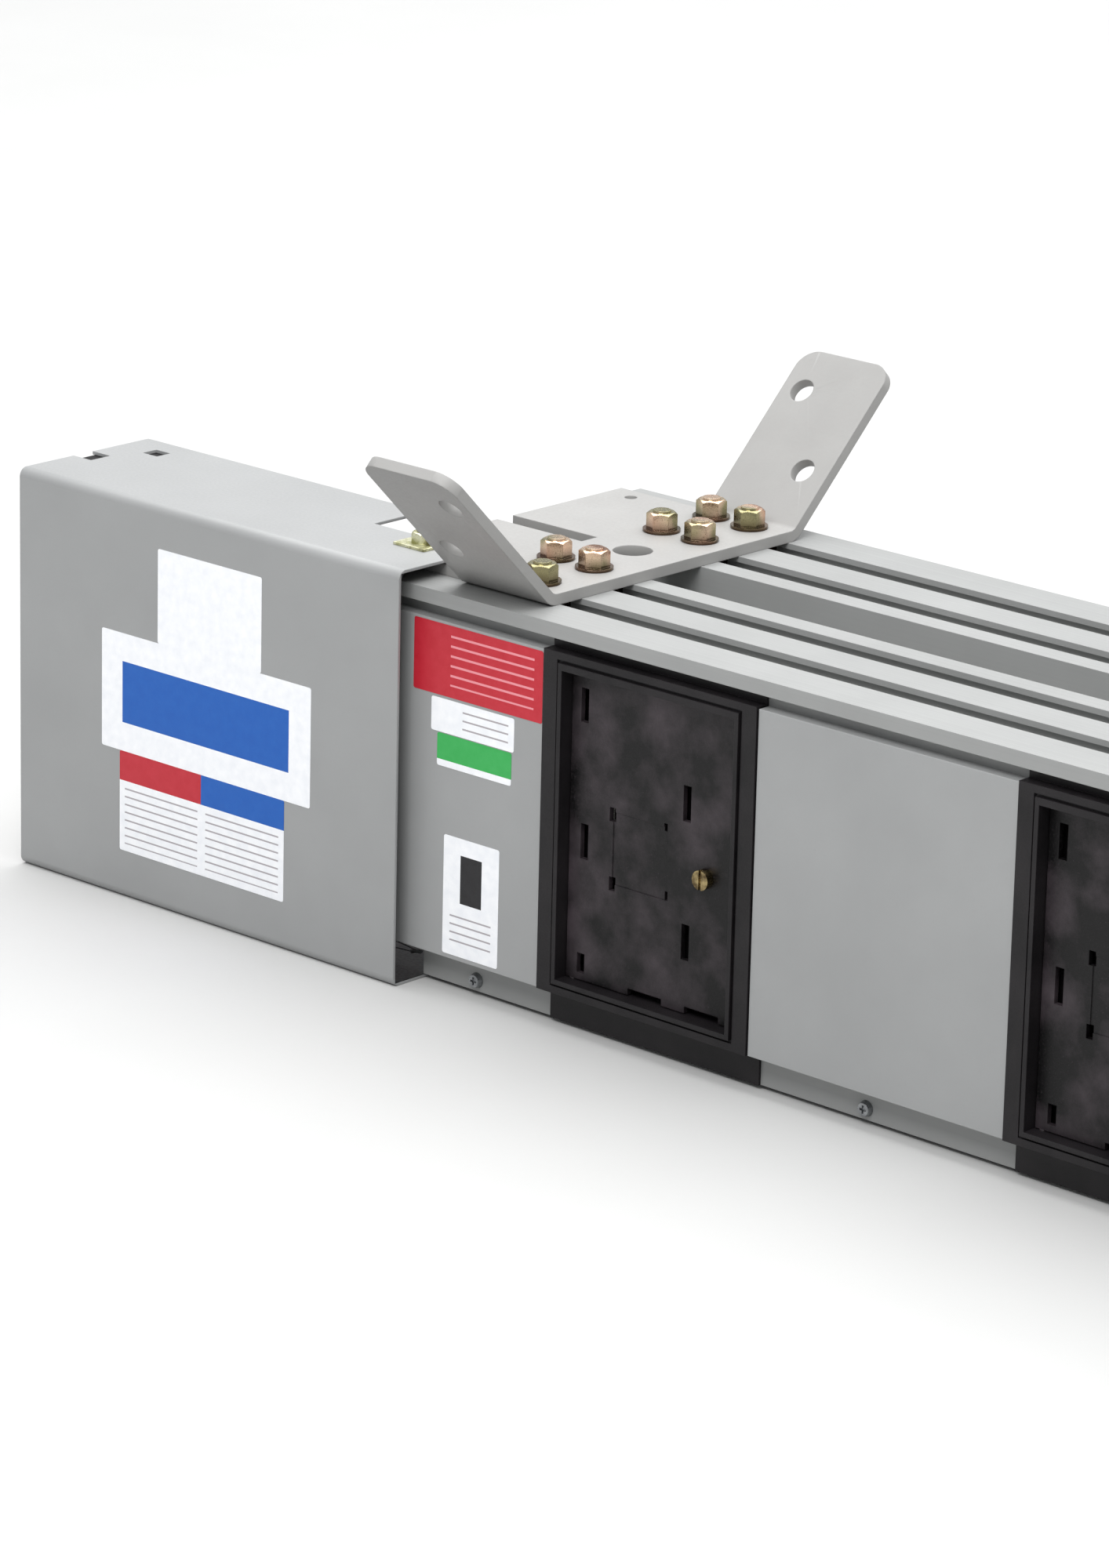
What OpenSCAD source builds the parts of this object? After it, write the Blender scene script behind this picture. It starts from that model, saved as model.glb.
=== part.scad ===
// Plug-in busway section: a two-piece extruded housing with plug-in outlets on both
// sides, a joint stack under a sheet-metal joint cover at the left end, and a hanger
// bracket bolted into the T-slots on top.
// X runs along the busway, Y through its depth, Z up. The origin is at the middle of
// the footprint, on the level of the joint cover's underside.

/* [Section] */
// Length from joint centre to joint centre
section_l = 1219.2; // [1000:0.1:1400]
// Outlets on each side
outlet_count = 3; // [2:1:3]
// Distance from a joint centre to the end of the housing
joint_gap = 90; // [70:1:120]

/* [Housing] */
// Depth of the whole housing, front to back
housing_d = 230; // [190:1:280]
// Height of the housing
housing_h = 212.6; // [180:0.1:255]
// Wall of the extrusion's outer skin
skin_t = 3.2; // [2.5:0.1:4]
// Wall of the inner ribs
rib_t = 2.6; // [2:0.1:3.2]
// Width of the outer rail
rail_outer_w = 27; // [24:0.5:34]
// Width of the rail between the two T-slots
rail_mid_w = 23; // [20:0.5:30]
// Width of the rail beside the centre valley
rail_inner_w = 13.5; // [11:0.5:18]
// Depth of the centre valley
valley_d = 30; // [20:1:40]
// Mouth of a T-slot
slot_w = 16.2; // [13:0.1:19.5]
// Inside width of a T-slot
slot_inner_w = 24; // [21.5:0.5:26]
// Inside height of a T-slot under its lips
slot_inner_h = 7; // [6:0.5:10]
// Height of the top rail's front face
rail_face_h = 7.8; // [6:0.1:12]
// Height of the recessed strip between top rail and side panel
strip_h = 7.2; // [4:0.1:10]
// Depth of that strip
strip_d = 8; // [5:0.1:9]
// Height of the set-back face under the side panels
low_face_h = 18.2; // [12:0.1:26]
// How far that face is set back
low_face_d = 11.5; // [8:0.1:14]
// Length of the foot of each side trimmed off at its ends, up to the edge of the joint cover
foot_trim = 52.5; // [30:0.5:70]
// Distance from the housing's face to its side web
web_inset = 19.4; // [17.2:0.1:26]

/* [Side panels] */
// Sheet of the side panels
panel_t = 1.6; // [1:0.1:2]
// Gap at each end of a panel
panel_gap = 0.6; // [0.3:0.1:1.5]

/* [Outlets] */
// Width of an outlet frame
outlet_w = 141.5; // [120:0.5:165]
// Width of the frame's rim beside the cover
rim_w = 13.3; // [11:0.1:16]
// Height of the frame's rim above and below the cover
rim_h = 8; // [7.6:0.1:12]
// How far the rim's inner lip stands out of the housing's face
rim_proud = 2; // [1.4:0.1:4]
// Depth of the cover's face behind the rim
door_recess = 8.1; // [6:0.1:9.8]
// Thickness of the hinged cover
door_t = 3; // [2.5:0.1:4]
// Gap round the hinged cover
door_gap = 0.6; // [0.4:0.1:1]
// Thickness of the frame's floor
floor_t = 4.8; // [4.2:0.1:6]
// Stab slots in the floor
stab_count = 4; // [3, 4]
// Pitch of the stab slots
stab_pitch = 20; // [16:0.5:24]
// Width of a stab slot
stab_w = 9; // [7:0.5:11]
// Height of a stab slot
stab_h = 60; // [40:1:90]
// Radius of the cover's pivot stubs
pivot_r = 2; // [1.6:0.1:2.4]
// Running clearance of a pivot stub
pivot_fit = 0.06; // [0.03:0.01:0.1]
// Length of a pivot stub
pivot_l = 1.8; // [1.4:0.1:2]

/* [Joint cover] */
// Width of the joint cover along the busway
cover_w = 285; // [235:1:345]
// Sheet of the joint cover
cover_sheet = 1.9; // [1.5:0.1:2.5]
// Outside radius of its bends
bend_r = 5; // [3.5:0.5:8]
// How far its face stands in front of the housing
cover_proud = 11.4; // [8:0.1:16]
// Distance from the busway's middle to the back edge of its flanges
cover_back = 31; // [24:1:40]
// Gap under the housing down to the cover's underside
cover_drop = 2.4; // [2.3:0.1:4]
// Gap between the hanger bracket's plate and the cover's top flange
cover_gap = 1.1; // [0.5:0.1:3]

/* [Hanger bracket] */
// Plate of the hanger bracket
plate_t = 6; // [4:0.1:6.5]
// Width of the bracket's wings
wing_w = 61; // [56:1:80]
// Length of a wing up its slope
wing_l = 107.5; // [90:0.5:125]
// Angle of a wing above level
wing_angle = 44.5; // [35:0.5:60]
// Radius of the holes in the wings
wing_hole_r = 7; // [5:0.5:9]
// Gap between the joint cover and the wings
wing_gap = 15.3; // [14:0.1:25]
// Distance from the housing's face in to the bends
bend_inset = 22.5; // [14:0.5:25]

/* [Bus bars] */
// Number of bars
bar_count = 4; // [3, 4]
// Thickness of a bar
bar_t = 6.35; // [4:0.05:8]
// Height of a bar
bar_h = 70; // [50:1:110]
// Pitch of the bars
bar_pitch = 12.7; // [12:0.1:16]

/* [Hidden] */
$fn = 48;
eps = 0.01;

sides = ["front", "back"];
outlets = [for (i = [1 : outlet_count]) i];

// Places along X, measured from the joint centre, then moved so that the footprint is centred
bar_end_gap = 15;
left_x = -cover_w / 2;
right_x = section_l - bar_end_gap;
origin_x = (left_x + right_x) / 2;
housing_x0 = joint_gap;
housing_x1 = section_l - joint_gap;
outlet_pitch = section_l / (outlet_count + 1);
function outlet_x(i) = i * outlet_pitch;

// Levels
cover_rise = plate_t + cover_gap + cover_sheet;
housing_z = cover_drop;
top_z = housing_z + housing_h;
cover_top_z = top_z + cover_rise;
panel_z0 = housing_z + low_face_h;
panel_z1 = top_z - rail_face_h - strip_h;
half_d = housing_d / 2;

// T-slot centres and the valley's wall, measured inwards from the housing's face
slot_u1 = rail_outer_w + slot_w / 2;
slot_u2 = slot_u1 + slot_w + rail_mid_w;
valley_u = slot_u2 + slot_w / 2 + rail_inner_w;

// Ledges that carry the set-back faces in to the side web, above the housing's underside
ledge_seat = 1;
ledge_low = low_face_h + ledge_seat;
ledge_high = housing_h - rail_face_h - strip_h - panel_t - ledge_seat;

alu = "#b4b6b8";
gray = "#8f9395";
black = "#1d1b1d";
zinc = "#b08a4c";
brass = "#c9a24a";
copper = "#b06b3f";
sheet_red = "#7b2d26";

// ---- helpers ----

// A rectangle from corner to corner in a section drawn as (u, z)
module rect(u0, z0, u1, z1) {
    translate([u0, z0]) square([u1 - u0, z1 - z0]);
}

// Extrudes a (u, z) section along X between two places; u runs inwards from the front face
module along_x(x0, x1) {
    translate([x0 - origin_x, -half_d, 0])
        rotate([90, 0, 90])
            linear_extrude(height = x1 - x0) children();
}

// Puts a front-side piece on either side of the busway, turned half round about Z
module on_side(side, x_mid) {
    if (side == "front") children();
    else translate([2 * (x_mid - origin_x), 0, 0]) rotate([0, 0, 180]) children();
}

// ---- housing ----

// One half of the top: skin, rail face, recessed strip, two T-slots and the valley wall
module top_flange_section() {
    h = housing_h;
    difference() {
        union() {
            rect(0, h - skin_t, valley_u, h);
            rect(0, h - rail_face_h, skin_t, h);
            rect(skin_t - eps, h - rail_face_h, strip_d + rib_t, h - rail_face_h + rib_t);
            rect(strip_d, ledge_high, strip_d + rib_t, h - eps);
            for (u = [slot_u1, slot_u2])
                rect(u - slot_inner_w / 2 - rib_t, h - skin_t - slot_inner_h - rib_t,
                     u + slot_inner_w / 2 + rib_t, h - eps);
        }
        for (u = [slot_u1, slot_u2]) {
            rect(u - slot_w / 2, h - 2 * skin_t, u + slot_w / 2, h + 1);
            rect(u - slot_inner_w / 2, h - skin_t - slot_inner_h, u + slot_inner_w / 2, h - skin_t);
        }
    }
    rect(strip_d, ledge_high - rib_t, web_inset + rib_t, ledge_high + eps);
    rect(valley_u - skin_t, h - valley_d, valley_u, h - eps);
    rect(valley_u - skin_t, h - valley_d - skin_t, half_d, h - valley_d);
}

// The plain underside: set-back face and a flat skin with a shallow valley
module bottom_flange_section() {
    rect(low_face_d, 0, valley_u, skin_t);
    rect(low_face_d, eps, low_face_d + rib_t, ledge_low);
    rect(low_face_d, ledge_low - rib_t, web_inset + rib_t, ledge_low);
    rect(valley_u - skin_t, eps, valley_u, valley_d);
    rect(valley_u - skin_t, valley_d, half_d, valley_d + skin_t);
}

module housing_section() {
    top_flange_section();
    bottom_flange_section();
    rect(web_inset, ledge_low - eps, web_inset + rib_t, ledge_high);
}

// Openings in the side web, behind the stab slots of each outlet
window_margin = 12;
window_w = stab_pitch * (stab_count - 1) + stab_w + window_margin;
window_h = stab_h + 2 * window_margin;

module housing_half() {
    difference() {
        translate([0, 0, housing_z]) along_x(housing_x0, housing_x1) housing_section();
        for (x = [housing_x0 - 1, housing_x1 - foot_trim])
            translate([x - origin_x, -half_d - 1, housing_z - 1])
                cube([foot_trim + 1, valley_u - skin_t + 1, ledge_low + 1]);
        for (i = outlets) {
            translate([outlet_x(i) - origin_x + stab_x - window_w / 2, -half_d + web_inset - 1,
                       door_mid_z - window_h / 2])
                cube([window_w, rib_t + 2, window_h]);
            panel_screw_place(i)
                translate([0, 0, -1]) cylinder(r = panel_screw_r + panel_screw_fit, h = rib_t + 2);
        }
    }
}

module housing_front() {
    color(alu) housing_half();
}

module housing_back() {
    color(alu) on_side("back", section_l / 2) housing_half();
}

// ---- side panels ----

// Places where a panel starts and ends, for panel 1 at the joint to the last one
function panel_x0(i) = i == 1 ? housing_x0 + panel_gap
                              : outlet_x(i - 1) + outlet_w / 2 + panel_gap;
function panel_x1(i) = i == outlet_count + 1 ? housing_x1 - panel_gap
                              : outlet_x(i) - outlet_w / 2 - panel_gap;

// A sheet with a short return at its top and a longer one at its bottom
module side_panel(i) {
    w = panel_x1(i) - panel_x0(i);
    h = panel_z1 - panel_z0;
    translate([panel_x0(i) - origin_x, -half_d, panel_z0]) {
        cube([w, panel_t, h]);
        cube([w, low_face_d, panel_t]);
        translate([0, 0, h - panel_t]) cube([w, strip_d, panel_t]);
    }
}

// Pan-head screws in the set-back face under the panels, each at a share of its stretch of foot
panel_screw_r = 2;
panel_screw_share = 0.42;
panel_screw_rise = 6;
panel_screw_head_r = 4.2;
panel_screw_head_h = 3;
panel_screw_fit = 0.1;

module panel_screw_place(i) {
    foot_x0 = i == 1 ? housing_x0 + foot_trim : outlet_x(i - 1) + outlet_w / 2;
    foot_x1 = outlet_x(i) - outlet_w / 2;
    translate([foot_x0 + panel_screw_share * (foot_x1 - foot_x0) - origin_x, low_face_d - half_d,
               housing_z + panel_screw_rise])
        rotate([-90, 0, 0]) children();
}

module panel_screw() {
    slot = [1.2, 1.4];
    difference() {
        translate([0, 0, -panel_screw_head_h])
            cylinder(r1 = 0.8 * panel_screw_head_r, r2 = panel_screw_head_r, h = panel_screw_head_h);
        for (a = [0, 90])
            rotate([0, 0, a])
                translate([-panel_screw_head_r / 2, -slot[0] / 2, -panel_screw_head_h - 1])
                    cube([panel_screw_head_r, slot[0], slot[1] + 1]);
    }
    translate([0, 0, -eps]) cylinder(r = panel_screw_r, h = 3 * panel_screw_head_h);
}

module panel_screws() {
    color(zinc)
    for (s = sides)
        on_side(s, section_l / 2) for (i = outlets) panel_screw_place(i) panel_screw();
}

// ---- outlets ----

flange_proud = 1;
tongue_gap = 0.2;
skirt_t = 1.5;
flange_t = 2.6;
frame_wall = 2.2;
frame_rise = 1;
frame_z1 = panel_z1 + frame_rise;
door_z0 = panel_z0 + rim_h;
door_z1 = panel_z1 - rim_h;
door_mid_z = (door_z0 + door_z1) / 2;
recess_u = door_recess - rim_proud;
floor_u = web_inset - floor_t;
door_x0 = -outlet_w / 2 + rim_w;
door_x1 = outlet_w / 2 - rim_w;
pivot_inset = 4.6;
pivot_x = door_x0 + pivot_inset;
pivot_u = recess_u + door_t / 2;
lip_w = 2.6;
groove_w = 1.4;
groove_d = 1.4;

// Latch screw at the free edge, stab slots between it and the pivots
latch_inset = 22.4;
latch_x = door_x1 - latch_inset;
latch_drop = 7.4;
latch_z = door_mid_z - latch_drop;
latch_r = 2.4;
latch_fit = 0.3;
boss_r = 7;
boss_gap = 2;
stab_x = latch_x - boss_r - boss_gap - (stab_pitch * (stab_count - 1) + stab_w) / 2;

// A box between two corners, in an outlet's own frame: X, depth from the housing's face, Z
module block(x0, u0, z0, x1, u1, z1) {
    translate([x0, u0, z0]) cube([x1 - x0, u1 - u0, z1 - z0]);
}

// A box with rectangular edges set in by m on the sides and by n above and below
module ring_block(m, n, u0, u1) {
    block(-outlet_w / 2 + m, u0, panel_z0 + n, outlet_w / 2 - m, u1, frame_z1 - n);
}

module at_latch() {
    translate([latch_x, 0, latch_z]) rotate([-90, 0, 0]) children();
}

// The moulded frame: flange, grooved inner lip, door pocket, floor with stab slots and latch boss
module outlet_frame() {
    lip_m = rim_w - lip_w;
    lip_n = rim_h - lip_w;
    pocket_x0 = door_x0 - frame_wall;
    pocket_x1 = door_x1 + frame_wall;
    pocket_z0 = door_z0 - frame_wall;
    pocket_z1 = door_z1 + frame_wall;
    translate([0, -half_d, 0])
    difference() {
        union() {
            difference() {
                ring_block(0, 0, -flange_proud, strip_d);
                // hollow behind the flange
                ring_block(frame_wall, frame_wall, flange_t - flange_proud, strip_d + 1);
                // groove round the inner lip
                difference() {
                    ring_block(lip_m - groove_w, lip_n - groove_w, -flange_proud - 1,
                               groove_d - flange_proud);
                    ring_block(lip_m, lip_n, -flange_proud - 2, groove_d);
                }
            }
            ring_block(lip_m, lip_n, -rim_proud, 0);
            block(pocket_x0, 0, pocket_z0, pocket_x1, web_inset, pocket_z1);
            // tongue in the recessed strip above
            block(-outlet_w / 2, strip_d - flange_t / 2, frame_z1 - frame_wall,
                  outlet_w / 2, strip_d, top_z - rail_face_h - tongue_gap);
            // ledge under the flange and skirt over the set-back face
            block(-outlet_w / 2, 0, panel_z0, outlet_w / 2, low_face_d, panel_z0 + frame_wall);
            block(-outlet_w / 2, low_face_d - skirt_t, housing_z,
                  outlet_w / 2, low_face_d, panel_z0 + frame_wall);
        }
        block(door_x0, -rim_proud - 1, door_z0, door_x1, floor_u, door_z1);
        // sockets for the cover's pivot stubs
        translate([pivot_x, pivot_u, door_z0 - pivot_l])
            cylinder(r = pivot_r + pivot_fit, h = door_z1 - door_z0 + 2 * pivot_l);
        // stab slots
        for (k = [0 : stab_count - 1])
            translate([stab_x + (k - (stab_count - 1) / 2) * stab_pitch, 0, door_mid_z])
                block(-stab_w / 2, floor_u - 1, -stab_h / 2, stab_w / 2, web_inset + 1, stab_h / 2);
    }
    // boss that the latch screw enters
    translate([0, -half_d, 0]) at_latch() difference() {
        translate([0, 0, pivot_u + door_t]) cylinder(r = boss_r, h = floor_u - pivot_u - door_t + eps);
        translate([0, 0, pivot_u]) cylinder(r = latch_r + latch_fit, h = floor_u - pivot_u);
    }
}

// Slots moulded through the cover, as shares of its half width and half height: [x, z, w, h]
door_slots = [
    [-0.85, 0.79, 0.09, 0.22], [-0.82, -0.09, 0.09, 0.23], [-0.83, -0.89, 0.09, 0.13],
    [0.38, 0.35, 0.09, 0.23], [0.4, -0.54, 0.09, 0.23],
    [-0.49, 0.14, 0.07, 0.09], [-0.48, -0.31, 0.07, 0.09],
    [0.14, 0.16, 0.04, 0.05], [0.16, -0.28, 0.04, 0.06]
];
// Notches in the cover's lower edge: [x, w]
door_notches = [[-0.06, 0.4], [0.61, 0.4]];
notch_h = 3.6;
// Sunk field between the small slots: [x0, z0, x1, z1]
door_field = [-0.48, -0.31, 0.15, 0.16];
field_d = 0.5;

// The hinged cover: a plate with moulded slots and its two pivot stubs
module outlet_door() {
    half_w = (door_x1 - door_x0) / 2 - door_gap;
    half_h = (door_z1 - door_z0) / 2 - door_gap;
    translate([0, recess_u - half_d, door_mid_z]) {
        difference() {
            block(-half_w, 0, -half_h, half_w, door_t, half_h);
            for (s = door_slots)
                translate([s[0] * half_w, 0, s[1] * half_h])
                    block(-s[2] / 2 * half_w, -1, -s[3] / 2 * half_h, s[2] / 2 * half_w, door_t + 1,
                          s[3] / 2 * half_h);
            for (n = door_notches)
                translate([n[0] * half_w, 0, -half_h])
                    block(-n[1] / 2 * half_w, -1, -1, n[1] / 2 * half_w, door_t + 1, notch_h);
            block(door_field[0] * half_w, -1, door_field[1] * half_h,
                  door_field[2] * half_w, field_d, door_field[3] * half_h);
            translate([0, 0, -door_mid_z]) at_latch()
                translate([0, 0, -1]) cylinder(r = latch_r + latch_fit, h = door_t + 2);
        }
        for (z = [-half_h - pivot_l, half_h - eps])
            translate([pivot_x, door_t / 2, z]) cylinder(r = pivot_r, h = pivot_l + eps);
    }
}

module latch_screw() {
    head_r = 5.2;
    head_h = 4.5;
    slot = [1.6, 1.4];
    grip = door_t + 3.6;
    translate([0, recess_u - half_d, 0]) at_latch() {
        difference() {
            translate([0, 0, -head_h]) cylinder(r = head_r, h = head_h);
            translate([-slot[0] / 2, -head_r - 1, -head_h - 1]) cube([slot[0], 2 * head_r + 2, slot[1] + 1]);
        }
        translate([0, 0, -eps]) cylinder(r = latch_r, h = grip);
    }
}

module outlet_place(i) {
    translate([outlet_x(i) - origin_x, 0, 0]) children();
}

// ---- joint cover ----

flange_d = half_d + cover_proud - cover_back;

// The bent sheet's section: face, two rounded bends and two flanges, drawn as (u, z)
module cover_section() {
    u0 = -cover_proud;
    z1 = cover_top_z;
    r_in = bend_r - cover_sheet;
    difference() {
        union() {
            rect(u0 + bend_r, 0, u0 + flange_d, z1);
            rect(u0, bend_r, u0 + bend_r + eps, z1 - bend_r);
            for (z = [bend_r, z1 - bend_r])
                translate([u0 + bend_r, z]) circle(r = bend_r);
        }
        rect(u0 + bend_r, cover_sheet, u0 + flange_d + 1, z1 - cover_sheet);
        rect(u0 + cover_sheet, bend_r, u0 + bend_r + eps, z1 - bend_r);
        for (z = [bend_r, z1 - bend_r])
            translate([u0 + bend_r, z]) circle(r = r_in);
    }
}

cover_bolt_inset = 28;
cover_bolt_x = cover_w / 2 - cover_bolt_inset;
cover_bolt_r = 3.1;
hole_fit = 0.3;
end_notch = [14, 14];
lock_hole = [11, 10];
lock_hole_x = 21;
lock_hole_inset = 24;
relief_l = 75;
relief_u = 47;

// Cuts a box through the cover's top flange; u runs inwards from the housing's front face
module flange_cut(x, u, w, d) {
    translate([x - origin_x, u - half_d, cover_top_z - cover_sheet - 1])
        cube([w, d, cover_sheet + 2]);
}

module joint_cover() {
    back_u = flange_d - cover_proud;
    color(gray)
    difference() {
        along_x(left_x, cover_w / 2) cover_section();
        // open slots for the fixings of the neighbouring section
        for (drop = [0, cover_top_z - cover_sheet])
            translate([0, 0, -drop])
                flange_cut(left_x - 1, slot_u1 - end_notch[1] / 2, end_notch[0] + 1, end_notch[1]);
        flange_cut(left_x + lock_hole_x, back_u - lock_hole_inset, lock_hole[0], lock_hole[1]);
        // relief at the back right corner of the top flange
        flange_cut(cover_w / 2 - relief_l, relief_u, relief_l + 1, back_u);
        // fixing holes
        translate([cover_bolt_x - origin_x, slot_u1 - half_d, -1])
            cylinder(r = cover_bolt_r + hole_fit, h = cover_top_z + 2);
    }
}

// ---- fasteners ----

// Depth of the turned corners on a hex, as a share of its width across flats
hex_turned = 0.08;

// A hex with its outer corners turned down to the flats at the top
module hex_prism(af, h) {
    corner_r = af / 2 / cos(30);
    turned = hex_turned * af;
    turned_z = h - turned;
    intersection() {
        cylinder(r = corner_r, h = h, $fn = 6);
        union() {
            cylinder(r = af, h = turned_z);
            translate([0, 0, turned_z - eps])
                cylinder(r1 = corner_r + eps, r2 = af / 2 - turned / 3, h = turned + eps);
        }
    }
}

bolt_r = 4.75;
nut_af = 14.3;
nut_h = 10.5;
flange_r = 10;
flange_h = 1.6;
thread_fit = 0.02;
t_head_w = 21;
t_head_h = 4.5;
bolt_end = 1;
// Turn of the nuts from the flats facing along the bracket
nut_turn = 37;
bolt_fit = 0.4;

// T-slot bolt standing in a slot: a square head under the lips and a round shank
module t_bolt(rise, r) {
    translate([-t_head_w / 2, -t_head_w / 2, top_z - skin_t - t_head_h])
        cube([t_head_w, t_head_w, t_head_h]);
    translate([0, 0, top_z - skin_t - eps]) cylinder(r = r, h = rise + skin_t);
}

module flange_nut(r) {
    difference() {
        union() {
            cylinder(r = flange_r, h = flange_h);
            rotate([0, 0, nut_turn]) hex_prism(nut_af, nut_h);
        }
        translate([0, 0, -1]) cylinder(r = r, h = nut_h + 2);
    }
}

module at_hanger_bolts() {
    for (x = bolt_xs)
        for (u = [slot_u1, slot_u2])
            for (s = [-1, 1])
                translate([x - origin_x, s * (half_d - u), 0]) children();
}

module hanger_bolts() {
    color(zinc) at_hanger_bolts() t_bolt(plate_t + nut_h + bolt_end, bolt_r);
}

module hanger_nuts() {
    color(zinc) at_hanger_bolts() translate([0, 0, top_z + plate_t]) flange_nut(bolt_r + thread_fit);
}

// The bolt through the joint cover, with its square washer and nut
washer_w = 22;
washer_t = 1.6;
cover_nut_af = 11;
cover_nut_h = 5.5;

module at_cover_bolt(z) {
    translate([cover_bolt_x - origin_x, slot_u1 - half_d, z]) children();
}

module cover_bolts() {
    color(zinc) at_cover_bolt(0) t_bolt(cover_rise + washer_t + cover_nut_h + bolt_end, cover_bolt_r);
}

module cover_washers() {
    color(zinc) at_cover_bolt(cover_top_z) difference() {
        translate([-washer_w / 2, -washer_w / 2, 0]) cube([washer_w, washer_w, washer_t]);
        translate([0, 0, -1]) cylinder(r = cover_bolt_r + hole_fit, h = washer_t + 2);
    }
}

module cover_nuts() {
    color(zinc) at_cover_bolt(cover_top_z + washer_t) difference() {
        hex_prism(cover_nut_af, cover_nut_h);
        translate([0, 0, -1]) cylinder(r = cover_bolt_r + thread_fit, h = cover_nut_h + 2);
    }
}

// ---- hanger bracket ----

// The wings start right of the joint cover; the tongues run back under its flange
bracket_x = cover_w / 2 + wing_gap;
bolt_margin = 14;
bolt_spacing = 26.7;
bolt_xs = [bracket_x + bolt_margin, bracket_x + bolt_margin + bolt_spacing];
tongue_end = 17;
tongue_x = cover_bolt_x - tongue_end;
tongue_y0 = 6;
tongue_inset = 24;
tongue_y1 = half_d - tongue_inset;
tongue_hole_r = 3.4;
bend_span = housing_d - 2 * bend_inset;
wing_corner_r = 12;
// The corner rounding starts this far past the edge, so that it meets the edge at an angle
corner_start = 0.05;
// The two holes of a wing: across from its middle and up its slope
wing_holes = [[13.5, 35.5], [-17, 82]];
centre_hole_r = 10.5;

bend_inner_r = 6;
bend_steps = 12;
bend_y = bend_span / 2 - bend_inner_r * tan(wing_angle / 2);

// One half of the bent plate's section as (y, z): underside out to the tip, then back on top
function bent_half() = let (r = bend_inner_r + plate_t, c = [bend_y, r], t = wing_angle) concat(
    [for (k = [0 : bend_steps]) let (a = t * k / bend_steps) c + r * [sin(a), -cos(a)]],
    [for (n = [-plate_t, 0])
        [bend_span / 2, plate_t] + wing_l * [cos(t), sin(t)] + n * [-sin(t), cos(t)]],
    [for (k = [0 : bend_steps]) let (a = t - t * k / bend_steps) c + bend_inner_r * [sin(a), -cos(a)]]
);

module bent_section() {
    right_side = bent_half();
    left_side = [for (k = [len(right_side) - 1 : -1 : 0]) [-right_side[k][0], right_side[k][1]]];
    polygon(concat(right_side, left_side));
}

// Stands children on the upper face of the back wing: X across, Y up the slope
module on_wing() {
    translate([0, bend_span / 2, plate_t]) rotate([wing_angle, 0, 0]) children();
}

module wing_cuts() {
    r = wing_corner_r;
    on_wing() {
        for (hole = wing_holes)
            translate([hole[0], hole[1], -plate_t - 1]) cylinder(r = wing_hole_r, h = plate_t + 2);
        for (s = [-1, 1])
            translate([s * (wing_w / 2 - r + corner_start), wing_l - r + corner_start, -plate_t - 1])
            difference() {
                translate([s > 0 ? 0 : -2 * r, 0, 0]) cube([2 * r, 2 * r, plate_t + 2]);
                translate([0, 0, -1]) cylinder(r = r, h = plate_t + 4);
            }
    }
}

module bracket_plate() {
    x_mid = bracket_x + wing_w / 2;
    difference() {
        union() {
            translate([-wing_w / 2, 0, 0])
                rotate([90, 0, 90]) linear_extrude(height = wing_w) bent_section();
            for (y = [tongue_y0, -tongue_y1])
                translate([tongue_x - x_mid, y, 0]) cube([x_mid - tongue_x, tongue_y1 - tongue_y0, plate_t]);
        }
        wing_cuts();
        rotate([0, 0, 180]) wing_cuts();
        // hole over the valley
        translate([0, 0, -1]) cylinder(r = centre_hole_r, h = plate_t + 2);
    }
}

module hanger_bracket() {
    color(alu)
    difference() {
        translate([bracket_x + wing_w / 2 - origin_x, 0, top_z]) bracket_plate();
        at_hanger_bolts() translate([0, 0, top_z - 1]) cylinder(r = bolt_r + bolt_fit, h = plate_t + 2);
        // a fixing hole in each tongue
        for (s = [-1, 1])
            translate([cover_bolt_x - origin_x, s * (half_d - slot_u1), top_z - 1])
                cylinder(r = tongue_hole_r, h = plate_t + 2);
    }
}

// ---- bus bars ----

bar_z = housing_z + housing_h / 2;
function bar_y(k) = (k - (bar_count - 1) / 2) * bar_pitch;

module bus_bars() {
    color(copper)
    for (k = [0 : bar_count - 1])
        translate([bar_end_gap - origin_x, bar_y(k) - bar_t / 2, bar_z - bar_h / 2])
            cube([section_l - 2 * bar_end_gap, bar_t, bar_h]);
}

support_w = 22;
support_wall = 7;
support_d = bar_count * bar_pitch + 2 * support_wall;
first_support_shift = 10;
support_xs = [for (i = [0 : outlet_count]) (i + 0.5) * outlet_pitch - (i == 0 ? first_support_shift : 0)];

module bar_supports() {
    z0 = housing_z + valley_d + skin_t;
    z1 = top_z - valley_d - skin_t;
    color(black)
    for (x = support_xs)
        difference() {
            translate([x - support_w / 2 - origin_x, -support_d / 2, z0])
                cube([support_w, support_d, z1 - z0]);
            for (k = [0 : bar_count - 1])
                translate([x - support_w / 2 - 1 - origin_x, bar_y(k) - bar_t / 2, bar_z - bar_h / 2])
                    cube([support_w + 2, bar_t, bar_h]);
        }
}

// ---- joint stack ----

splice_gap = 12;
splice_inset = 4;
joint_l = 2 * (joint_gap - splice_gap);
splice_t = 2.4;
insulator_t = bar_pitch - bar_t - 2 * splice_t;
insulator_margin = 6;
stack_y = bar_count * bar_pitch / 2 + insulator_t / 2;
joint_bolt_r = 6.3;
joint_bolt_end = 14;
joint_washer_r = 22;
joint_washer_t = 4;
joint_hex_af = 19;
joint_head_h = 8;
joint_nut_h = 9;

module joint_hole(d) {
    translate([-origin_x, -d, bar_z]) rotate([-90, 0, 0]) cylinder(r = joint_bolt_r + hole_fit, h = 2 * d);
}

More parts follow.
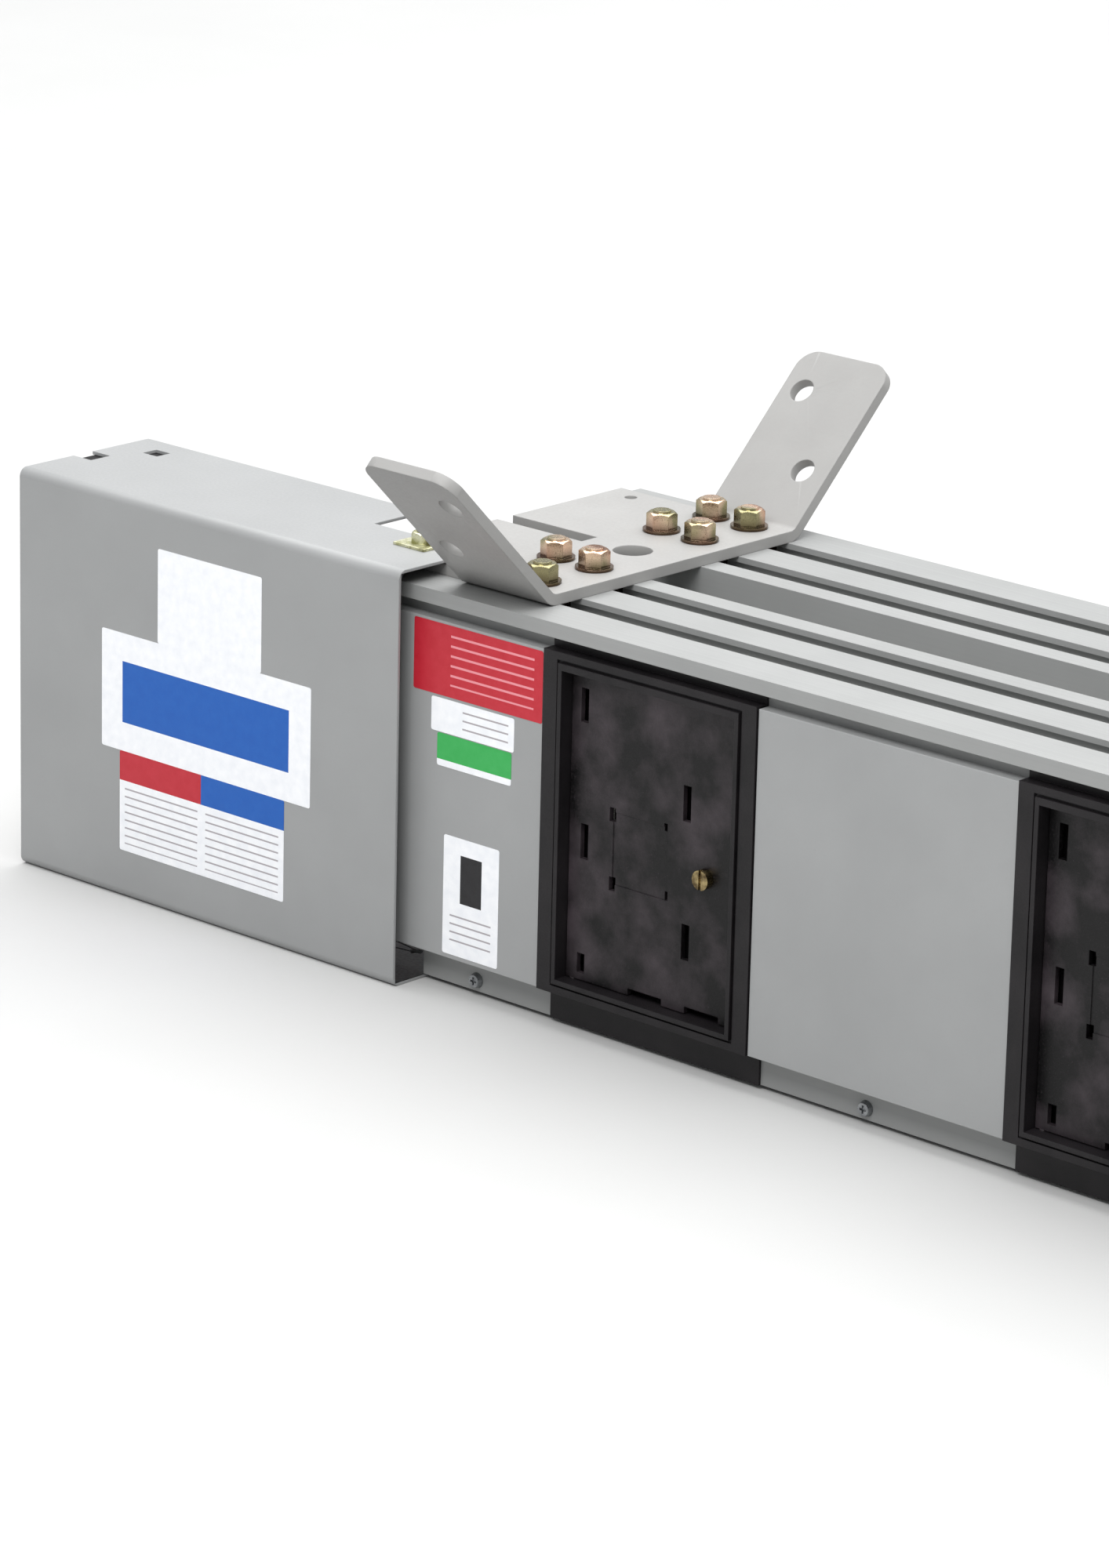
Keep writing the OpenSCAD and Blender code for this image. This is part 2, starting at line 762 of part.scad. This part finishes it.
module joint_plates() {
    color(copper)
    difference() {
        for (k = [0 : bar_count - 1])
            for (y = [bar_y(k) - bar_t / 2 - splice_t, bar_y(k) + bar_t / 2])
                translate([-joint_l / 2 - origin_x, y, bar_z - bar_h / 2 + splice_inset])
                    cube([joint_l, splice_t, bar_h - 2 * splice_inset]);
        joint_hole(housing_d / 2);
    }
}

module joint_insulators() {
    l = joint_l + 2 * insulator_margin;
    h = bar_h + 2 * insulator_margin;
    color(sheet_red)
    difference() {
        for (k = [0 : bar_count])
            translate([-l / 2 - origin_x, bar_y(k) - bar_pitch / 2 - insulator_t / 2, bar_z - h / 2])
                cube([l, insulator_t, h]);
        joint_hole(housing_d / 2);
    }
}

module joint_bolt() {
    color(zinc)
    translate([-origin_x, 0, bar_z]) rotate([90, 0, 0]) {
        translate([0, 0, stack_y]) cylinder(r = joint_washer_r, h = joint_washer_t);
        translate([0, 0, stack_y + joint_washer_t - eps]) hex_prism(joint_hex_af, joint_head_h);
        translate([0, 0, -stack_y - joint_bolt_end])
            cylinder(r = joint_bolt_r, h = 2 * stack_y + joint_bolt_end + eps);
    }
}

module joint_nut() {
    color(zinc)
    translate([-origin_x, stack_y, bar_z]) rotate([-90, 0, 0]) difference() {
        union() {
            cylinder(r = joint_washer_r, h = joint_washer_t);
            translate([0, 0, joint_washer_t - eps]) hex_prism(joint_hex_af, joint_nut_h);
        }
        translate([0, 0, -1]) cylinder(r = joint_bolt_r + thread_fit, h = joint_bolt_end + 2);
    }
}

// ---- pieces ----

housing_front();
housing_back();
joint_cover();
hanger_bracket();
hanger_bolts();
hanger_nuts();
cover_bolts();
cover_washers();
cover_nuts();
panel_screws();
bus_bars();
bar_supports();
joint_plates();
joint_insulators();
joint_bolt();
joint_nut();
for (s = sides) {
    for (i = [0 : outlet_count])
        color(gray) on_side(s, section_l / 2) side_panel(i + 1);
    for (i = outlets) {
        color(black) on_side(s, section_l / 2) outlet_place(i) outlet_frame();
        color(black) on_side(s, section_l / 2) outlet_place(i) outlet_door();
        color(brass) on_side(s, section_l / 2) outlet_place(i) latch_screw();
    }
}
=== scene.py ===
import math
import bpy
from mathutils import Matrix, Vector


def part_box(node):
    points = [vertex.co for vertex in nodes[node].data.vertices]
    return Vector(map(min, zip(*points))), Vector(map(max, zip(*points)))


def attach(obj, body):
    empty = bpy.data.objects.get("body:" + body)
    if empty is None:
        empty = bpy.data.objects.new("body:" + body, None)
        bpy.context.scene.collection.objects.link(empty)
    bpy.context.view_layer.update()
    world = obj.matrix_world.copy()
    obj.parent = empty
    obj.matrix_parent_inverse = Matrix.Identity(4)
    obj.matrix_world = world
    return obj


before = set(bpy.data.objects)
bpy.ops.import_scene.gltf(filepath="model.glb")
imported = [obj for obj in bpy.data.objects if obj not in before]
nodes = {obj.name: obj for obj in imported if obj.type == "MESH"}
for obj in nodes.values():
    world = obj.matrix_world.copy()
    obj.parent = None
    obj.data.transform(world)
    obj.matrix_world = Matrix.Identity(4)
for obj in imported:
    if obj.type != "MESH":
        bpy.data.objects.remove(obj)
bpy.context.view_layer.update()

mm = 0.001
print("frame loaded:", len(nodes), "nodes")


# Colours are written as sRGB hex and used as linear values
def linearColour(code):
    parts = [int(code[i:i + 2], 16) / 255 for i in (1, 3, 5)]
    return [c / 12.92 if c <= 0.04045 else ((c + 0.055) / 1.055) ** 2.4 for c in parts] + [1.0]


# Adds one shader node; inputs map a socket's name or number to a value, a colour or another node's output
def addNode(tree, kind, inputs=None, **settings):
    node = tree.nodes.new(kind)
    for name, value in settings.items():
        setattr(node, name, value)
    for socket, value in (inputs or {}).items():
        if isinstance(value, bpy.types.NodeSocket):
            tree.links.new(value, node.inputs[socket])
        elif isinstance(value, str):
            node.inputs[socket].default_value = linearColour(value)
        else:
            node.inputs[socket].default_value = value
    return node


# What a finish has when it doesn't say otherwise; sizes and depths are in millimetres
plainFinish = {
    "metallic": 0.0, "ior": 1.5, "sheen": 0.5, "vary": 0.06, "cloudDetail": 3.0, "cloudRoughness": 0.55,
    "cloudRange": (0.3, 0.7), "stretch": (1, 1, 1), "grainDetail": 2.0, "grainRoughness": 0.5,
    "grainRange": (0.3, 0.7), "speck": 0.3, "speckRange": (0.62, 0.72), "swell": 0.0, "rounding": 0.4,
    "edgeSamples": 4}


# A finish: two tones that drift in clouds, a fine grain that specks, roughens and dents it, and broken edges
def makeFinish(settings):
    look = {**plainFinish, **settings}
    material = bpy.data.materials.new(look["name"])
    material.use_nodes = True
    tree = material.node_tree
    shader = tree.nodes["Principled BSDF"]
    shader.inputs["Metallic"].default_value = look["metallic"]
    if not look["metallic"]:
        shader.inputs["IOR"].default_value = look["ior"]
        shader.inputs["Specular IOR Level"].default_value = look["sheen"]
    where = addNode(tree, "ShaderNodeTexCoord").outputs["Object"]
    place = addNode(tree, "ShaderNodeSeparateXYZ", {0: where})
    cloud = addNode(tree, "ShaderNodeTexNoise", {
        "Vector": where, "Scale": 1 / (look["cloud"] * mm), "Detail": look["cloudDetail"],
        "Roughness": look["cloudRoughness"]}).outputs[0]
    drawn = addNode(tree, "ShaderNodeMapping", {
        "Vector": where, "Scale": [1 / times for times in look["stretch"]]}).outputs[0]
    grain = addNode(tree, "ShaderNodeTexNoise", {
        "Vector": drawn, "Scale": 1 / (look["grain"] * mm), "Detail": look["grainDetail"],
        "Roughness": look["grainRoughness"]}).outputs[0]

    if "film" in look:  # tones that follow the thickness of a thin film
        ramp = addNode(tree, "ShaderNodeValToRGB", {"Fac": cloud})
        stops = ramp.color_ramp.elements
        stops[0].position, stops[1].position = look["film"][0][0], look["film"][-1][0]
        for at, _ in look["film"][1:-1]:
            stops.new(at)
        for stop, (at, colour) in zip(stops, look["film"]):
            stop.color = linearColour(colour)
        tone = ramp.outputs["Color"]
    else:
        drift = addNode(tree, "ShaderNodeMapRange", {
            "Value": cloud, "From Min": look["cloudRange"][0], "From Max": look["cloudRange"][1]}).outputs[0]
        tone = addNode(tree, "ShaderNodeMix", {0: drift, 6: look["colour"], 7: look["second"]},
                       data_type="RGBA").outputs[2]
    specks = addNode(tree, "ShaderNodeMapRange", {
        "Value": grain, "From Min": look["speckRange"][0], "From Max": look["speckRange"][1],
        "To Max": look["speck"]}).outputs[0]
    tone = addNode(tree, "ShaderNodeMix", {0: specks, 6: tone, 7: look["second"]}, data_type="RGBA").outputs[2]

    if "foot" in look:  # painted shade that darkens the foot of a fastener
        low, high = look["foot"]
        grime = addNode(tree, "ShaderNodeMapRange", {
            "Value": place.outputs["Z"], "From Min": low, "From Max": high,
            "To Min": 1.0, "To Max": 0.0}).outputs[0]
        tone = addNode(tree, "ShaderNodeMix", {0: grime, 6: tone, 7: look["grime"]}, data_type="RGBA").outputs[2]
    if "ruled" in look:  # thin lines of ink at an even spacing
        apart, thick = look["ruled"]
        lines = addNode(tree, "ShaderNodeMath", {0: place.outputs["Z"], 1: apart * mm}, operation="DIVIDE")
        part = addNode(tree, "ShaderNodeMath", {0: lines.outputs[0]}, operation="FRACT")
        ink = addNode(tree, "ShaderNodeMath", {0: part.outputs[0], 1: thick / apart}, operation="LESS_THAN")
        tone = addNode(tree, "ShaderNodeMix", {0: ink.outputs[0], 6: tone, 7: look["ink"]},
                       data_type="RGBA").outputs[2]
    if "innerShadeOn" in look:  # painted shade: the inside of a bent sheet is painted near-black, so only the sheet's outer half keeps its coat
        (low, high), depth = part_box(look["innerShadeOn"]), look["innerShadeDepth"] * mm
        inside = addNode(tree, "ShaderNodeMath", {0: place.outputs["Y"], 1: low.y + depth},
                         operation="GREATER_THAN")
        for test, edge in (("GREATER_THAN", low.z + depth), ("LESS_THAN", high.z - depth)):
            level = addNode(tree, "ShaderNodeMath", {0: place.outputs["Z"], 1: edge}, operation=test)
            inside = addNode(tree, "ShaderNodeMath", {0: inside.outputs[0], 1: level.outputs[0]},
                             operation="MULTIPLY")
        tone = addNode(tree, "ShaderNodeMix", {0: inside.outputs[0], 6: tone, 7: look["innerShadeColour"]},
                       data_type="RGBA").outputs[2]
    tree.links.new(tone, shader.inputs["Base Color"])

    rough = addNode(tree, "ShaderNodeMapRange", {
        "Value": grain, "From Min": look["grainRange"][0], "From Max": look["grainRange"][1],
        "To Min": look["roughness"] - look["vary"], "To Max": look["roughness"] + look["vary"]}).outputs[0]
    tree.links.new(rough, shader.inputs["Roughness"])
    height = addNode(tree, "ShaderNodeMath", {0: cloud, 1: look["swell"], 2: grain}, operation="MULTIPLY_ADD")
    edges = addNode(tree, "ShaderNodeBevel", {"Radius": look["rounding"] * mm}, samples=look["edgeSamples"])
    bump = addNode(tree, "ShaderNodeBump", {
        "Height": height.outputs[0], "Distance": look["depth"] * mm, "Normal": edges.outputs[0]})
    tree.links.new(bump.outputs["Normal"], shader.inputs["Normal"])
    return material


# Powder coat on sheet: even gray, a satin sheen and a faint orange peel
powderCoat = {"colour": "#959696", "second": "#909191", "roughness": 0.44, "cloud": 60, "grain": 1.6,
              "depth": 0.02, "rounding": 0.5}
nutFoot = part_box("hanger_nuts")[0].z  # where the flange nuts stand on the bracket's plate
grimeHeight = 7.5 * mm  # how far up the nuts the painted shade fades out

finishes = {
    "sheetGray": makeFinish({**powderCoat, "name": "powderCoatedSheet"}),
    # The same coat on the joint cover, whose inside is painted near-black as painted shade
    "innerShadeSheet": makeFinish({
        **powderCoat, "name": "powderCoatedSheetPaintedInnerShade", "innerShadeOn": "joint_cover", "innerShadeDepth": 1.7,
        "innerShadeColour": "#070607"}),
    # Powder coat on thick plate: a touch warmer and duller, with a coarser peel
    "plateGray": makeFinish({
        "name": "powderCoatedPlate", "colour": "#979694", "second": "#91908e", "roughness": 0.5, "cloud": 40,
        "grain": 1.8, "depth": 0.03, "rounding": 0.8}),
    # Coated extrusion: fine die lines along the length show through the coat and stretch its highlights
    "extrusionGray": makeFinish({
        "name": "powderCoatedExtrusion", "colour": "#919291", "second": "#8a8b8a", "roughness": 0.48, "cloud": 70,
        "grain": 1.4, "stretch": (400, 1, 1), "speckRange": (0.45, 0.8), "depth": 0.02, "rounding": 0.5}),
    # Yellow chromate on zinc: a thin iridescent film, pale greenish gold with olive patches
    "chromate": makeFinish({
        "name": "yellowChromatedZinc", "metallic": 1.0, "second": "#8c8a5e", "roughness": 0.34, "vary": 0.1,
        "film": [(0.38, "#7d7a52"), (0.46, "#d8d6ae"), (0.54, "#ecebcf"), (0.64, "#c2c193")], "cloud": 12,
        "grain": 0.8, "speck": 0.25, "depth": 0.02, "rounding": 0.35}),
    # The same film on the flange nuts, with painted shade that darkens them round the foot
    "nutChromate": makeFinish({
        "name": "yellowChromatedNut", "metallic": 1.0, "second": "#6e543e", "roughness": 0.22, "vary": 0.1,
        "film": [(0.36, "#a87c60"), (0.44, "#ecc3a8"), (0.53, "#e5caad"), (0.61, "#a8a17a")], "cloud": 24,
        "cloudDetail": 1.0, "grain": 0.8, "speck": 0.5, "foot": (nutFoot, nutFoot + grimeHeight),
        "grime": "#3a281c", "depth": 0.02, "rounding": 0.35}),
    # Clear zinc plate: cool gray metal, slightly patchy
    "clearZinc": makeFinish({
        "name": "clearZincPlate", "metallic": 1.0, "colour": "#a9abad", "second": "#7c7e81", "roughness": 0.34,
        "vary": 0.1, "cloud": 5, "grain": 0.6, "depth": 0.02, "rounding": 0.3}),
    # Turned brass: warm metal with concentric tool marks and brown tarnish
    "brass": makeFinish({
        "name": "turnedBrass", "metallic": 1.0, "colour": "#a8966c", "second": "#5a4c36", "roughness": 0.22,
        "vary": 0.12, "cloud": 4, "cloudRange": (0.4, 0.7), "grain": 0.5, "stretch": (1, 30, 1), "depth": 0.02,
        "rounding": 0.3}),
    # Moulded black frame: near-black plastic with a soft, uneven sheen
    "frameBlack": makeFinish({
        "name": "mouldedBlackFrame", "colour": "#0f0d0f", "second": "#1e1b1d", "roughness": 0.46, "vary": 0.1,
        "cloud": 30, "grain": 0.7, "depth": 0.03, "swell": 3.0, "sheen": 0.3, "rounding": 0.5}),
    # Moulded black cover: cloudy flow marks and a gray bloom, where the melt met itself
    "doorBlack": makeFinish({
        "name": "mouldedBlackCover", "colour": "#060506", "second": "#3d363a", "roughness": 0.44, "vary": 0.14,
        "cloud": 30, "cloudDetail": 9.0, "cloudRange": (0.43, 0.72), "grain": 1.1, "speckRange": (0.6, 0.72),
        "speck": 0.4, "depth": 0.04, "swell": 3.0, "sheen": 0.3, "rounding": 0.4}),
    # Extruded rubber look: dull black, with faint lines along its length, for the black strip of painted shade
    # under the cover's notch
    "shadeSealBlack": makeFinish({
        "name": "blackRubberShadeSeal", "colour": "#0b0a0b", "second": "#1b191b", "roughness": 0.7, "cloud": 20,
        "grain": 0.7, "stretch": (20, 1, 1), "depth": 0.02, "sheen": 0.25, "rounding": 0.5}),
    # Tin plate on bar: bright and soft, with rolling lines along the bar
    "barMetal": makeFinish({
        "name": "tinPlatedBar", "metallic": 1.0, "colour": "#dcdcd6", "second": "#bfbfb8", "roughness": 0.32,
        "vary": 0.08, "cloud": 30, "grain": 1.0, "stretch": (200, 1, 1), "depth": 0.02}),
    # Glass-filled nylon: matt black with short pale fibres
    "support": makeFinish({
        "name": "glassFilledNylon", "colour": "#181718", "second": "#3a393a", "roughness": 0.55, "cloud": 20,
        "cloudRange": (0.4, 0.9), "grain": 0.5, "stretch": (1, 1, 6), "speck": 0.6, "depth": 0.03}),
    # Glass-polyester sheet: matt brick red with a pale fibre fleck
    "insulator": makeFinish({
        "name": "glassPolyesterSheet", "colour": "#8a2f24", "second": "#a84a3c", "roughness": 0.5, "cloud": 20,
        "grain": 0.6, "stretch": (1, 1, 6), "speck": 0.6, "depth": 0.02, "rounding": 0.2}),
}

# Which finish each node has, by the start of its name; the first that fits counts
nodeFinishes = {
    "housing": "extrusionGray", "joint_cover": "innerShadeSheet", "hanger_bracket": "plateGray",
    "hanger_nuts": "nutChromate", "hanger_bolts": "nutChromate", "panel_screws": "clearZinc", "panel": "sheetGray",
    "outlet_door": "doorBlack", "outlet": "frameBlack", "latch": "brass", "bus_bars": "barMetal",
    "joint_plates": "barMetal", "bar_supports": "support", "joint_insulators": "insulator",
    "cover": "chromate", "joint": "chromate",
}

for name, obj in nodes.items():
    finish = next(look for start, look in nodeFinishes.items() if name.startswith(start))
    obj.data.materials.clear()
    obj.data.materials.append(finishes[finish])

# Broken edges in millimetres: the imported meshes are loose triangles, so they're welded first
edgeRounding = {"joint_cover": 0.4, "hanger_bracket": 0.8, "hanger_nuts": 0.3, "hanger_bolts": 0.3,
                "latch_screw": 0.3, "panel_screws": 0.25, "panel": 0.35, "outlet_door": 0.3, "outlet": 0.35,
                "cover_nuts": 0.3, "cover_washers": 0.3, "bus_bars": 0.8, "bar_supports": 0.5,
                "joint_plates": 0.3, "joint_bolt": 0.4, "joint_nut": 0.4}
edgeSettings = {"weld": 0.01, "segments": 2, "angle": 35}

for name, obj in nodes.items():
    width = next((size for start, size in edgeRounding.items() if name.startswith(start)), 0)
    if width:
        weld = obj.modifiers.new("weld", "WELD")
        weld.merge_threshold = edgeSettings["weld"] * mm
        edges = obj.modifiers.new("edges", "BEVEL")
        edges.width = width * mm
        edges.segments = edgeSettings["segments"]
        edges.limit_method = "ANGLE"
        edges.angle_limit = math.radians(edgeSettings["angle"])
        edges.use_clamp_overlap = True
print("finishes set on", len(nodes), "nodes")

# Vinyl films of the labels: white stock, flat printed colours, and stock ruled with thin lines
vinyl = {"roughness": 0.42, "sheen": 0.35, "cloud": 6, "grain": 1.2, "speck": 0.1, "depth": 0.01, "rounding": 0.1}
whiteStock = {**vinyl, "colour": "#f0f1f3", "second": "#e6e8ec"}
redInk = {**vinyl, "colour": "#b3202e", "second": "#b92836"}
labelFilms = {
    "white": makeFinish({**whiteStock, "name": "whiteVinyl"}),
    "ruledWhite": makeFinish({**whiteStock, "name": "ruledWhiteVinyl", "ruled": (4.4, 0.9), "ink": "#a39ea2"}),
    "red": makeFinish({**redInk, "name": "redVinyl"}),
    "ruledRed": makeFinish({**redInk, "name": "ruledRedVinyl", "ruled": (5.2, 1.2), "ink": "#dd8a92"}),
    "blue": makeFinish({**vinyl, "name": "blueVinyl", "colour": "#0e55aa", "second": "#155aae"}),
    "green": makeFinish({**vinyl, "name": "greenVinyl", "colour": "#2fa04c", "second": "#38a654"}),
    "black": makeFinish({**vinyl, "name": "blackVinyl", "colour": "#1c1b1d", "second": "#232224"}),
}

# The film itself in millimetres: its thickness, the radius of its corners and its gap to the sheet
labelFilm = {"thickness": 0.15, "corner": 1.2, "lift": 0.02, "cornerSegments": 4}

# Places in millimetres, across and up from the left foot of the piece the label lies on, then width and height.
# Each band is left, foot, width and height inside the label, and its film.
labels = {
    "label_cover_top": {"on": "joint_cover", "place": (108, 148.5), "size": (78, 52), "bands": []},
    "label_cover_middle": {"on": "joint_cover", "place": (65, 83), "size": (158, 65.5), "bands": [
        (16, 16, 126, 34, "blue")]},
    "label_cover_low": {"on": "joint_cover", "place": (79, 27), "size": (125, 56), "bands": [
        (4, 4, 56, 33, "ruledWhite"), (66, 4, 55, 33, "ruledWhite"), (0, 39.5, 62.5, 16.5, "red"),
        (62.5, 39.5, 62.5, 16.5, "blue")]},
    "label_panel_red": {"on": "panel_front_1", "place": (52.5, 140), "size": (90, 38), "bands": [
        (0, 0, 90, 38, "red"), (26, 6, 58, 27, "ruledRed")]},
    "label_panel_white": {"on": "panel_front_1", "place": (65.5, 120.5), "size": (58, 18), "bands": [
        (22, 3, 32, 12, "ruledWhite")]},
    "label_panel_green": {"on": "panel_front_1", "place": (70, 102.5), "size": (52, 17.5), "bands": [
        (0, 3.5, 52, 14, "green")]},
    "label_panel_tall": {"on": "panel_front_1", "place": (76, 2.5), "size": (39, 64), "bands": [
        (12, 29, 15, 26, "black"), (5, 5, 29, 18, "ruledWhite")]},
}


# A label: a plane cut along its bands, with rounded corners and the thickness of vinyl
def makeLabel(name, settings):
    bpy.ops.object.select_all(action="DESELECT")
    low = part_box(settings["on"])[0]
    left = low.x + settings["place"][0] * mm
    foot = low.z + settings["place"][1] * mm
    wide, tall = [value * mm for value in settings["size"]]
    bpy.ops.mesh.primitive_plane_add(size=1, rotation=(math.pi / 2, 0, 0), location=(
        left + wide / 2, low.y - labelFilm["lift"] * mm, foot + tall / 2))
    label = bpy.context.object
    label.name = name
    label.scale = (wide, tall, 1)
    bpy.ops.object.transform_apply(location=True, rotation=True, scale=True)
    bpy.ops.object.mode_set(mode="EDIT")
    bpy.ops.mesh.select_all(action="SELECT")
    bpy.ops.mesh.bevel(offset=labelFilm["corner"] * mm, segments=labelFilm["cornerSegments"], affect="VERTICES")
    for bandLeft, bandFoot, bandWide, bandTall, _ in settings["bands"]:
        for across in (bandLeft, bandLeft + bandWide):
            bpy.ops.mesh.select_all(action="SELECT")
            bpy.ops.mesh.bisect(plane_co=(left + across * mm, 0, 0), plane_no=(1, 0, 0))
        for up in (bandFoot, bandFoot + bandTall):
            bpy.ops.mesh.select_all(action="SELECT")
            bpy.ops.mesh.bisect(plane_co=(0, 0, foot + up * mm), plane_no=(0, 0, 1))
    bpy.ops.object.mode_set(mode="OBJECT")
    label.data.materials.append(labelFilms["white"])
    for index, (bandLeft, bandFoot, bandWide, bandTall, vinylName) in enumerate(settings["bands"], 1):
        label.data.materials.append(labelFilms[vinylName])
        for face in label.data.polygons:
            across, up = (face.center.x - left) / mm, (face.center.z - foot) / mm
            if bandLeft < across < bandLeft + bandWide and bandFoot < up < bandFoot + bandTall:
                face.material_index = index
    film = label.modifiers.new("film", "SOLIDIFY")
    film.thickness = labelFilm["thickness"] * mm
    film.offset = 1
    bpy.ops.object.modifier_apply(modifier="film")
    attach(label, "housing")


for name, settings in labels.items():
    makeLabel(name, settings)
print("labels made:", len(labels))


# Black rubber-like strip under the cover's top flange at its open end, a dark piece that stands in as painted
# shade under the notch; in millimetres from the cover's left end
shadeSealSettings = {"start": 1.5, "length": 37.5, "clearance": 2.5, "thickness": 4, "coverSheet": 1.9, "corner": 0.8,
                "cornerSegments": 3, "grooves": 2, "grooveWidth": 2.4, "grooveDepth": 0.8}


# The strip: painted shade as a black block between the cover's front wall and the flange's back edge, grooved
# along its underside
def makeShadeSeal(settings):
    bpy.ops.object.select_all(action="DESELECT")
    low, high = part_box("joint_cover")
    sheet = settings["coverSheet"] * mm
    wide = settings["length"] * mm
    front = low.y + sheet + settings["clearance"] * mm
    back = high.y - settings["clearance"] * mm
    top = high.z - sheet
    thick = settings["thickness"] * mm
    left = low.x + settings["start"] * mm
    bpy.ops.mesh.primitive_cube_add(size=1, location=(left + wide / 2, (front + back) / 2, top - thick / 2))
    shadeSeal = bpy.context.object
    shadeSeal.name = "cover_shade_seal"
    shadeSeal.scale = (wide, back - front, thick)
    bpy.ops.object.transform_apply(location=True, rotation=True, scale=True)
    bpy.ops.object.mode_set(mode="EDIT")
    pitch = wide / (settings["grooves"] + 1)
    half = settings["grooveWidth"] * mm / 2
    for groove in range(1, settings["grooves"] + 1):
        for side in (-half, half):
            bpy.ops.mesh.select_all(action="SELECT")
            bpy.ops.mesh.bisect(plane_co=(left + groove * pitch + side, 0, 0), plane_no=(1, 0, 0))
    bpy.ops.object.mode_set(mode="OBJECT")
    for part in (*shadeSeal.data.vertices, *shadeSeal.data.edges, *shadeSeal.data.polygons):
        part.select = False
    for face in shadeSeal.data.polygons:
        across = (face.center.x - left) / pitch
        groove = round(across)
        face.select = (face.normal.z < -0.9 and 1 <= groove <= settings["grooves"]
                       and abs(across - groove) * pitch < half)
    bpy.ops.object.mode_set(mode="EDIT")
    bpy.ops.mesh.select_mode(type="FACE")
    bpy.ops.mesh.extrude_region_move(TRANSFORM_OT_translate={"value": (0, 0, settings["grooveDepth"] * mm)})
    bpy.ops.object.mode_set(mode="OBJECT")
    corners = shadeSeal.modifiers.new("corners", "BEVEL")
    corners.width = settings["corner"] * mm
    corners.segments = settings["cornerSegments"]
    corners.limit_method = "ANGLE"
    bpy.ops.object.modifier_apply(modifier="corners")
    shadeSeal.data.materials.append(finishes["shadeSealBlack"])
    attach(shadeSeal, "housing")


makeShadeSeal(shadeSealSettings)
print("seal made")

stageSettings = {"size": 14, "colour": "#c0c0bf", "second": "#bebebd"}


# A wide floor of matt paper
def makeStage(settings):
    bpy.ops.object.select_all(action="DESELECT")
    bpy.ops.mesh.primitive_plane_add(size=settings["size"])
    floor = bpy.context.object
    floor.name = "studio_floor"
    floor.data.materials.append(makeFinish({
        "name": "matPaperFloor", "colour": settings["colour"], "second": settings["second"], "roughness": 0.9,
        "cloud": 200, "grain": 3.0, "depth": 0.02, "sheen": 0.2}))


# One large box over the far side whitens the floor, a small one in front lights the faces; metres and watts
softboxes = {
    "overheadSoftbox": {"place": (-0.8, 2.2, 3.4), "target": (-0.8, 2.2, 0), "size": (7.0, 6.4), "power": 376},
    "frontTopSoftbox": {"place": (0.35, -1.55, 2.05), "target": (-0.1, 0, 0.1), "size": (1.75, 1.0), "power": 48},
}


# An area light at its place, turned to its target
def addSoftbox(name, settings):
    lamp = bpy.data.lights.new(name, "AREA")
    lamp.shape = "RECTANGLE"
    lamp.size, lamp.size_y = settings["size"]
    lamp.energy = settings["power"]
    obj = bpy.data.objects.new(name, lamp)
    bpy.context.scene.collection.objects.link(obj)
    obj.location = settings["place"]
    aim = Vector(settings["target"]) - Vector(settings["place"])
    obj.rotation_euler = aim.to_track_quat("-Z", "Y").to_euler()


makeStage(stageSettings)
for name, settings in softboxes.items():
    addSoftbox(name, settings)

# Even light from all round
airSettings = {"colour": "#f5f7fa", "strength": 0.54}
world = bpy.data.worlds.new("studioAir")
bpy.context.scene.world = world
world.use_nodes = True
air = world.node_tree.nodes["Background"]
air.inputs["Color"].default_value = linearColour(airSettings["colour"])
air.inputs["Strength"].default_value = airSettings["strength"]
bpy.context.scene.view_settings.view_transform = "Standard"

# The camera stands 3.2 m off, right of the object and a little above it, and is rolled by about a degree
cameraSettings = {"place": (1.72575, -2.315, 1.061), "lens": 142.4, "sensor": 36,
                  "right": (0.73265, 0.68023, 0.02246), "up": (-0.21826, 0.20356, 0.95442)}


# A perspective camera set by its right and up directions
def makeCamera(settings):
    right = Vector(settings["right"]).normalized()
    up = Vector(settings["up"])
    up = (up - right * up.dot(right)).normalized()
    back = right.cross(up)
    lens = bpy.data.cameras.new("camera")
    lens.lens = settings["lens"]
    lens.sensor_width = settings["sensor"]
    lens.sensor_fit = "AUTO"
    camera = bpy.data.objects.new("camera", lens)
    bpy.context.scene.collection.objects.link(camera)
    turn = Matrix((right, up, back)).transposed().to_4x4()
    camera.matrix_world = Matrix.Translation(settings["place"]) @ turn
    bpy.context.scene.camera = camera


makeCamera(cameraSettings)
print("stage, light and camera set")
